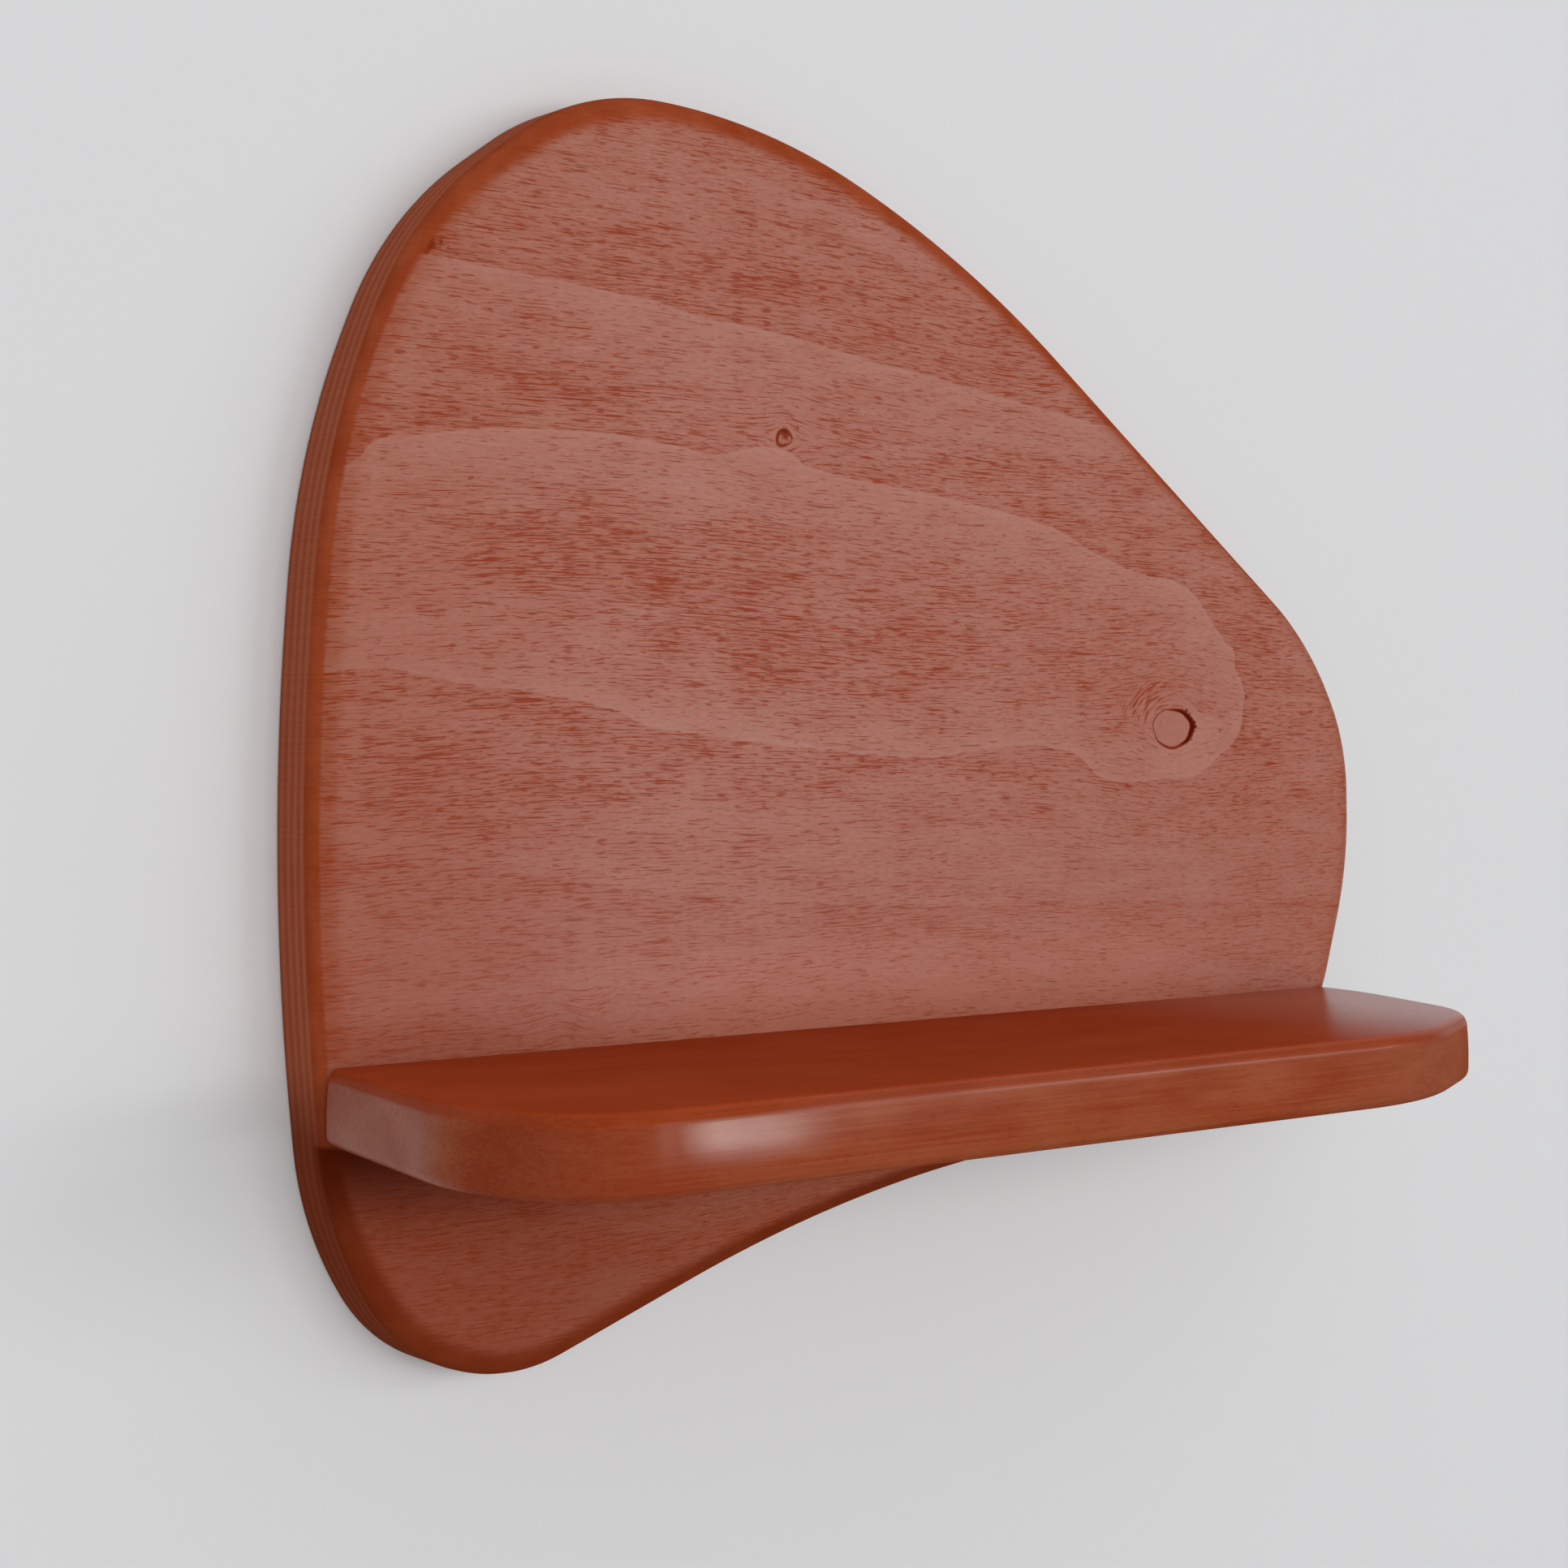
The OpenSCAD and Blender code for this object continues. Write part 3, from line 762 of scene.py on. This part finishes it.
def panel_material():
    """Stained plywood: figured face, ply lines on the edge, and bare wood in the cuts."""
    s = Shader("stained_plywood")
    x, y, z = millimetres(s)
    along, across, pit = s.attribute("grain")
    tongue, ring_high, ring_top = s.attribute("rings")
    ring_low, in_knot, tone = s.attribute("marks")
    rim = s.number("rim")
    normal = s.split(s.node("ShaderNodeNewGeometry").outputs["Normal"])[1]
    front = s.step(normal, 0.1, -0.1)

    def grain(length, thickness, seed, detail=2, roughness=0.5):
        """Noise drawn out along the grain, in spots about length by thickness millimetres."""
        place = s.join(s.math("DIVIDE", along, length), s.math("DIVIDE", across, thickness), seed)
        return s.noise(place, detail=detail, roughness=roughness)

    # Growth rings: each is pale and smooth on one side of its line, dark and flecked on the other
    ragged = s.noise(s.spread("MULTIPLY", (x, z), (0.2, 0.2)), detail=3, roughness=0.6)
    ragged = s.total((ragged, 1.5), -0.75)
    shade = None
    for ring, side, lifts in (
        (tongue, 1, TONGUE_LIFT), (ring_high, -1, RING_HIGH_LIFT),
        (ring_top, -1, RING_TOP_LIFT), (ring_low, 1, RING_LOW_LIFT),
    ):
        stops = [(at, 0.5 + lift) for at, lift in lifts]
        level = s.curve(s.total((ring, side), (ragged, 1)), stops)
        before = [] if shade is None else [(shade, 1)]
        shade = s.total((level, 1), *before, -0.5)
    cluster = grain(26, 8, 3.0, 3, 0.55)
    shade = s.total((s.product(shade, front), 1), (s.product(tone, front), 1), (cluster, -1.2), 0.60)

    # Grain, drawn out along the wood: fuzzy mottling, fine fibres, and dark tapered dashes
    mottle = grain(3.0, 0.8, 11.0, 4, 0.68)
    fibre = grain(22, 0.33, 7.0, 2, 0.6)
    level = s.total((shade, 0.60), (mottle, 1.1), (fibre, 0.9), -0.47)
    ground = s.curve(level, GROUND)
    long_dash = s.total((grain(13.0, 0.44, 5.0), 20.0), (shade, -3.2), -12.2)
    short_dash = s.total((grain(4.6, 0.44, 17.0), 18.0), (shade, -2.8), -10.5)

    # Over the big knot the dashes give way to lines that curl round it
    on_knot = s.step(in_knot, -0.02, 0.06)
    from_x = s.math("DIVIDE", s.total((x, 1), -BIG_KNOT[0]), BIG_KNOT_HALF[0])
    from_z = s.math("DIVIDE", s.total((z, 1), -BIG_KNOT[1]), BIG_KNOT_HALF[1])
    angle = s.math("ARCTAN2", from_z, from_x)
    rings_out = s.total((in_knot, -1), 1.0)
    curl_place = s.join(s.product(angle, rings_out, 1.3), s.product(rings_out, 7.0), 31.0)
    curl = s.noise(curl_place, detail=1)
    over_knot = s.product(
        s.step(angle, 1.3, 1.9), s.step(angle, 3.14, 2.7), s.step(rings_out, 1.1, 1.35),
        s.step(rings_out, 3.4, 2.2), front,
    )
    curl = s.product(s.step(curl, 0.51, 0.60), over_knot)
    calm = s.total((s.product(on_knot, front), -0.6), 1.0)
    calm = s.product(calm, s.step(z, -115, -55, 0.7, 1.0), s.total((over_knot, -0.8), 1.0))
    dash = s.math("MAXIMUM", s.math("MINIMUM", long_dash, 1.0), s.math("MINIMUM", short_dash, 0.85))
    dash = s.math("MAXIMUM", s.product(s.math("MAXIMUM", dash, 0.0), calm), curl)

    # The face: warmer low on the left, painted light just above the shelf, then dashes, knot, painted shade
    # below the shelf, and cracks
    cracks = s.product(s.step(pit, 0.015, 0.08, 0.0, 0.9), front)
    depths = s.product(s.step(pit, 0.12, 0.26), front)
    warm = s.product(s.step(x, -50, -150), s.step(z, 20, -80), front, 0.3)
    face = s.mix(warm, ground, WARM_FACE)
    # Painted light on the face just above the shelf
    lift = s.product(s.step(z, -95, -130), s.step(z, -135, -131), front)
    lift = s.product(lift, s.step(x, -125, -45, 0.0, 0.42), s.step(x, 150, 90, 0.2, 1.0))
    face = s.mix(lift, face, PAINTED_LIGHT_ABOVE_SHELF)
    face = s.mix(s.product(dash, 0.9), face, DASH)
    face = s.mix(s.product(on_knot, front, 0.5), face, KNOT_WOOD)
    # Painted shade on the face below the shelf, stronger towards the lower left
    corner = s.step(s.total((z, -1), (x, -0.4)), 190, 225, 0.14, 0.34)
    face = s.mix(s.product(s.step(z, -146, -150), front, corner), face, PAINTED_SHADE_BELOW_SHELF)
    face = s.mix(cracks, face, CRACK)
    face = s.mix(s.product(depths, 0.95), face, CRACK_DEPTH)

    # Edge: the plies show as faint bands, and the rounding took more stain than the face
    wander = s.noise(s.spread("MULTIPLY", (x, z), (0.02, 0.02)), detail=1)
    depth = s.total((y, 1), (wander, 0.7), -0.35)
    wave = s.math("SINE", s.product(s.total((depth, 1), 3.2), 2 * math.pi / PLY_STEP), 0.0)
    fine = s.noise(s.spread("MULTIPLY", (x, y, z), (0.06, 4.2, 0.06)), detail=3, roughness=0.7)
    ply = s.total((wave, 0.22), (fine, 1.1), -0.55)
    band = s.step(ply, -0.45, 0.5)
    edge = s.mix(band, PLY_DARK, PLY_PALE)
    patch = s.noise(s.spread("MULTIPLY", (x, y, z), (0.07, 0.12, 0.07)), detail=3, roughness=0.6)
    orange = s.mix(s.step(patch, 0.3, 0.7), ORANGE_DARK, ORANGE_PALE)
    edge = s.mix(s.product(s.step(y, -12.2, -13.8), 0.9), edge, orange)
    # Painted shade on the edge from the shelf down, where the shelf shades it and the rounding faces down
    edge_shade = s.product(s.step(z, -128, -150), s.step(z, -205, -165, 0.9, 1.0), 0.65)
    edge = s.mix(edge_shade, edge, PAINTED_SHADE_EDGE)

    # The edge's colour runs over the rounding, and further over the face at the top and bottom
    wide = s.step(s.total((z, 1), (x, 0.15)), 5.0, 85.0, 0.0, 3.6)
    wide = s.total((wide, 1), (s.step(z, -135, -195), 3.6))
    inward = s.total((rim, 1), (mottle, 1.2), (wide, -1), -1.0)
    past_rim = s.math("DIVIDE", s.total((inward, 1), -1.7), s.total((wide, 0.5), 0.5))
    on_rim = s.step(past_rim, 1.0, -1.0)
    on_rim = s.product(on_rim, s.step(y, -0.05, -0.4))
    colour = s.mix(s.product(on_rim, 0.95), face, edge)
    # Painted shadow under the shelf, on the face and its rounding, strongest under the left end
    below = s.product(s.step(z, -149, -147.5, 1.0, 0.0), s.step(z, -174, -148), s.step(y, -8, -15))
    below = s.product(below, s.step(x, 20, -120, 0.15, 1.0))
    colour = s.mix(below, colour, PAINTED_SHADOW_UNDER_SHELF)
    bare = s.product(s.step(rim, 9.4, 9.8), s.step(y, -17.3, -17.0), s.step(y, -0.3, -0.5))
    colour = s.mix(bare, colour, s.mix(band, BARE_DARK, BARE_PALE))

    # The gloss fades in dashes and cracks, on the rounding and below the shelf
    matte = s.math("MAXIMUM", s.product(dash, 0.8), s.math("MAXIMUM", cracks, depths))
    shaded = s.math("MAXIMUM", s.step(z, -150, -147), s.step(z, -205, -155, 0.12, 0.08))
    shaded = s.product(shaded, s.step(x, -165, -60, 0.6, 1.0))
    gloss = s.product(s.step(on_rim, 0, 1, 0.56, 0.03), s.total((matte, -1), 1.0), shaded)
    relief = s.total((dash, -0.9), (mottle, 0.7), (fibre, 0.5), (shade, 0.35))
    relief = s.bump(relief, 0.00006, 0.8)
    return s.finish({
        "Base Color": colour, "Roughness": s.total((dash, 0.06), 0.46), "Normal": relief,
        "Specular IOR Level": 0.0, "Coat Weight": gloss, "Coat Roughness": 0.4,
    })


def shelf_material():
    """Stained wood, streaky along its length, and glossy only in some places."""
    s = Shader("stained_shelf_wood")
    x, y, z = millimetres(s)
    upward = s.split(s.node("ShaderNodeNewGeometry").outputs["Normal"])[2]
    streaks = s.noise(s.spread("DIVIDE", (x, y, z), (45.0, 1.6, 0.7)), detail=3, roughness=0.6)
    speckle = s.noise(s.spread("DIVIDE", (x, y, z), (2.5, 0.7, 0.5)), detail=2, roughness=0.6)
    blotch = s.noise(s.spread("DIVIDE", (x, y, z), (30.0, 24.0, 11.0)), detail=3, roughness=0.55)
    tone = s.step(s.total((streaks, 0.5), (blotch, 0.6)), 0.36, 0.74)
    on_top = s.step(upward, 0.6, 0.98)
    flat = s.step(upward, 0.05, 0.3)

    # The side has painted shade at the front bend and a painted sheen that greys it towards the right
    side = s.mix(tone, SIDE_DARK, SIDE_PALE)
    # Painted shade at the front bend
    bend = s.product(s.step(x, -128, -150), s.step(y, -88, -102), 0.4)
    side = s.mix(bend, side, PAINTED_SHADE_BEND)
    # Painted sheen: paler and greyer towards the right, standing in for reflected light
    painted_sheen = s.product(s.step(x, 40, 110, 0.0, 0.32), s.step(x, 158, 125, 0.1, 1.0))
    side = s.mix(painted_sheen, side, SIDE_PAINTED_SHEEN)
    top = s.mix(tone, TOP_DARK, TOP_PALE)
    rounded = s.mix(tone, ROUNDED_DARK, ROUNDED_PALE)
    top = s.mix(on_top, rounded, top)
    colour = s.mix(flat, side, top)
    colour = s.mix(s.product(s.step(speckle, 0.5, 0.75), 0.2), colour, SPECKLE)
    relief = s.bump(s.total((streaks, 1), (speckle, 0.3)), 0.00004, 0.6)

    # Gloss: on the top's right end, the side's left end, the front bend and the upper rounding
    top_gloss = s.step(x, 50, 150, 0.06, 0.86)
    left_end = s.step(y, -96, -72, 0.08, 0.8)
    lens = s.product(s.step(x, -145, -129), s.step(z, -143.5, -136, 0.12, 1.0))
    side_gloss = s.product(s.math("MAXIMUM", left_end, lens), s.step(blotch, 0.25, 0.75, 0.75, 1.0))
    side_gloss = s.product(side_gloss, s.step(x, 60, 122, 0.9, 0.0), s.step(x, -125, -97, 1.0, 0.1))
    edge_gloss = s.product(s.step(x, -128, -98, 0.15, 1.0), s.step(x, -40, 110, 1.0, 0.4))
    gloss = s.mix(on_top, s.mix(flat, side_gloss, edge_gloss), top_gloss)
    return s.finish({
        "Base Color": colour, "Roughness": s.step(blotch, 0.3, 0.7, 0.40, 0.48), "Normal": relief,
        "Specular IOR Level": 0.0, "Coat Weight": gloss, "Coat Roughness": 0.25,
    })


def simple_material(name, dark, pale, stretch, rough, metal=0.0):
    """Lightly mottled metal or bare wood. stretch is the size of the spots in millimetres."""
    s = Shader(name)
    x, y, z = millimetres(s)
    grain = s.noise(s.spread("DIVIDE", (x, y, z), stretch), detail=3, roughness=0.6)
    colour = s.mix(s.step(grain, 0.35, 0.7), dark, pale)
    relief = s.bump(grain, 0.00003, 0.5)
    return s.finish({
        "Base Color": colour, "Roughness": s.step(grain, 0.3, 0.7, rough, rough + 0.12),
        "Metallic": metal, "Normal": relief,
    })


# Stage, camera and light

FLOOR_Z = -1200


def make_wall():
    """A wall behind the shelf. It is open behind the panel, and its back can't be seen."""
    hole = outline(panel_outline(), 1.2, 4.0)
    across, up = 1800, 1500
    rectangle = np.array([(-across, FLOOR_Z), (across, FLOOR_Z), (across, up), (-across, up)], float)
    points = np.concatenate([rectangle, hole])
    count = len(hole)
    edges = [(i, (i + 1) % 4) for i in range(4)] + [(4 + i, 4 + (i + 1) % count) for i in range(count)]
    places, _, faces, *_ = delaunay_2d_cdt([Vector(p) for p in points], edges, [], 1, 1e-6)
    centres = np.array([np.mean([places[i] for i in f], axis=0) for f in faces])
    keep = side_distance(centres, hole, closed=True) < 0
    gap = 0.3
    made = mesh_object("wall", [(p[0], gap, p[1]) for p in places], [f for f, k in zip(faces, keep) if k])
    if made.data.polygons[0].normal.y > 0:
        made.data.flip_normals()
    return made


def stage_material(name, colour, one_sided, bounce=None):
    """Plain paint. With one_sided it is clear from behind, and bounce is its colour for other light."""
    s = Shader(name)
    surface = s.node("ShaderNodeBsdfDiffuse", {"Color": colour}).outputs[0]
    if bounce:
        seen = s.node("ShaderNodeLightPath").outputs["Is Camera Ray"]
        dim = s.node("ShaderNodeBsdfDiffuse", {"Color": bounce}).outputs[0]
        surface = s.node("ShaderNodeMixShader", {0: seen, 1: dim, 2: surface}).outputs[0]
    if one_sided:
        back = s.node("ShaderNodeNewGeometry").outputs["Backfacing"]
        clear = s.node("ShaderNodeBsdfTransparent").outputs[0]
        surface = s.node("ShaderNodeMixShader", {0: back, 1: surface, 2: clear}).outputs[0]
    s.node("ShaderNodeOutputMaterial", {"Surface": surface})
    return s.material


def make_floor():
    """A floor far below the shelf."""
    reach = 4000
    corners = [(-reach, -reach), (reach, -reach), (reach, reach), (-reach, reach)]
    return mesh_object("floor", [(x, y, FLOOR_Z) for x, y in corners], [(0, 1, 2, 3)])


def make_camera():
    """The photograph's camera, fitted to the outlines of the two boards."""
    turn = math.radians(38.0)
    tilt = math.radians(0.89)
    lens = bpy.data.cameras.new("camera")
    lens.sensor_width = 36
    lens.lens = 62.367
    lens.clip_start = 0.01
    lens.clip_end = 50
    made = bpy.data.objects.new("camera", lens)
    bpy.context.collection.objects.link(made)
    made.location = (-0.46123, -0.56564, -0.05590)
    forward = Vector((math.sin(turn) * math.cos(tilt), math.cos(turn) * math.cos(tilt), -math.sin(tilt)))
    made.rotation_mode = "QUATERNION"
    made.rotation_quaternion = forward.to_track_quat("-Z", "Y")
    bpy.context.scene.camera = made


def make_lamp(name, place, target, size, watts, glossy=True, diffuse=True):
    """A rectangular lamp. glossy and diffuse say which kind of light it gives."""
    lamp = bpy.data.lights.new(name, "AREA")
    lamp.shape = "RECTANGLE"
    lamp.size, lamp.size_y = size
    lamp.energy = watts
    made = bpy.data.objects.new(name, lamp)
    bpy.context.collection.objects.link(made)
    made.location = place
    made.visible_glossy = glossy
    made.visible_diffuse = diffuse
    made.rotation_mode = "QUATERNION"
    made.rotation_quaternion = (Vector(target) - Vector(place)).to_track_quat("-Z", "Y")


def make_world():
    """Soft light from all round. The camera and reflections see plainer greys instead of it."""
    world = bpy.data.worlds.new("world")
    bpy.context.scene.world = world
    world.use_nodes = True
    tree = world.node_tree
    tree.nodes.clear()
    path = tree.nodes.new("ShaderNodeLightPath")
    way = tree.nodes.new("ShaderNodeTexCoord")
    parts = tree.nodes.new("ShaderNodeSeparateXYZ")
    tree.links.new(way.outputs["Generated"], parts.inputs[0])

    def ramp(axis, low, high, to_low, to_high):
        """A strength that goes with the direction along one axis."""
        made = tree.nodes.new("ShaderNodeMapRange")
        for key, value in (("From Min", low), ("From Max", high), ("To Min", to_low), ("To Max", to_high)):
            made.inputs[key].default_value = value
        tree.links.new(parts.outputs[axis], made.inputs["Value"])
        return made

    light = tree.nodes.new("ShaderNodeBackground")
    light.inputs["Color"].default_value = (0.98, 0.99, 1, 1)
    # A little brighter from above, and brighter behind the wall for views of the back
    height = ramp("Z", -0.5, 0.7, 0.44, 0.54)
    behind = ramp("Y", 0.0, 0.3, 0.0, 0.5)
    strength = tree.nodes.new("ShaderNodeMath")
    tree.links.new(height.outputs[0], strength.inputs[0])
    tree.links.new(behind.outputs[0], strength.inputs[1])
    tree.links.new(strength.outputs[0], light.inputs["Strength"])
    seen = tree.nodes.new("ShaderNodeBackground")
    seen.inputs["Color"].default_value = (0.75, 0.75, 0.76, 1)
    dim = tree.nodes.new("ShaderNodeBackground")
    tree.links.new(ramp("Y", 0.0, 0.3, 0.16, 0.85).outputs[0], dim.inputs["Strength"])
    out = tree.nodes.new("ShaderNodeOutputWorld")
    found = light
    for ray, shown in (("Is Glossy Ray", dim), ("Is Camera Ray", seen)):
        mix = tree.nodes.new("ShaderNodeMixShader")
        tree.links.new(path.outputs[ray], mix.inputs[0])
        tree.links.new(found.outputs[0], mix.inputs[1])
        tree.links.new(shown.outputs[0], mix.inputs[2])
        found = mix
    tree.links.new(found.outputs[0], out.inputs[0])


make_camera()
make_world()
# The two gleams light nothing: they only show in the gloss, where the photograph has its shine
make_lamp("front_soft", (-0.70, -3.1, 0.10), (0, 0, -0.05), (3.0, 1.4), 39, glossy=False)
make_lamp("window", (1.96, -3.49, 0.32), (0, 0, -0.08), (1.3, 1.8), 20, glossy=False)
make_lamp("window_gleam", (1.96, -3.49, 0.32), (0, 0, -0.08), (0.95, 1.8), 38, diffuse=False)
make_lamp("low_gleam", (2.11, -3.44, -0.36), (-0.13, -0.12, -0.14), (0.58, 0.46), 17, diffuse=False)
make_lamp("far_window", (3.20, -2.40, 0.44), (0, 0, -0.05), (1.5, 0.6), 12)


def dress(piece, node, material):
    """Gives a board its material and puts it in the place of its solid."""
    piece.data.materials.clear()
    piece.data.materials.append(material)
    piece.data.polygons.foreach_set("material_index", [0] * len(piece.data.polygons))
    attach(piece, "root")
    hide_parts(node)


panel = make_panel()
dress(panel, "back_panel", panel_material())
shelf = make_shelf()
dress(shelf, "shelf_board", shelf_material())

zinc = simple_material(
    "zinc_plate", dark=srgb(168, 172, 178), pale=srgb(206, 209, 212),
    stretch=(3, 3, 3), rough=0.24, metal=1.0,
)
beech = simple_material(
    "beech", dark=srgb(196, 160, 116), pale=srgb(224, 192, 150),
    stretch=(1.2, 12, 1.2), rough=0.55,
)
for name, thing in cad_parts.items():
    if name in ("back_panel", "shelf_board"):
        continue
    thing.data.materials.clear()
    thing.data.materials.append(beech if name.startswith("dowel") else zinc)

PALE_GREY = srgb(222, 222, 223)
wall = make_wall()
wall.data.materials.append(stage_material("wall_paint", PALE_GREY, one_sided=True))
floor = make_floor()
floor_paint = stage_material("floor_paint", PALE_GREY, one_sided=False, bounce=srgb(170, 170, 170))
floor.data.materials.append(floor_paint)

bpy.context.scene.view_settings.view_transform = "Standard"
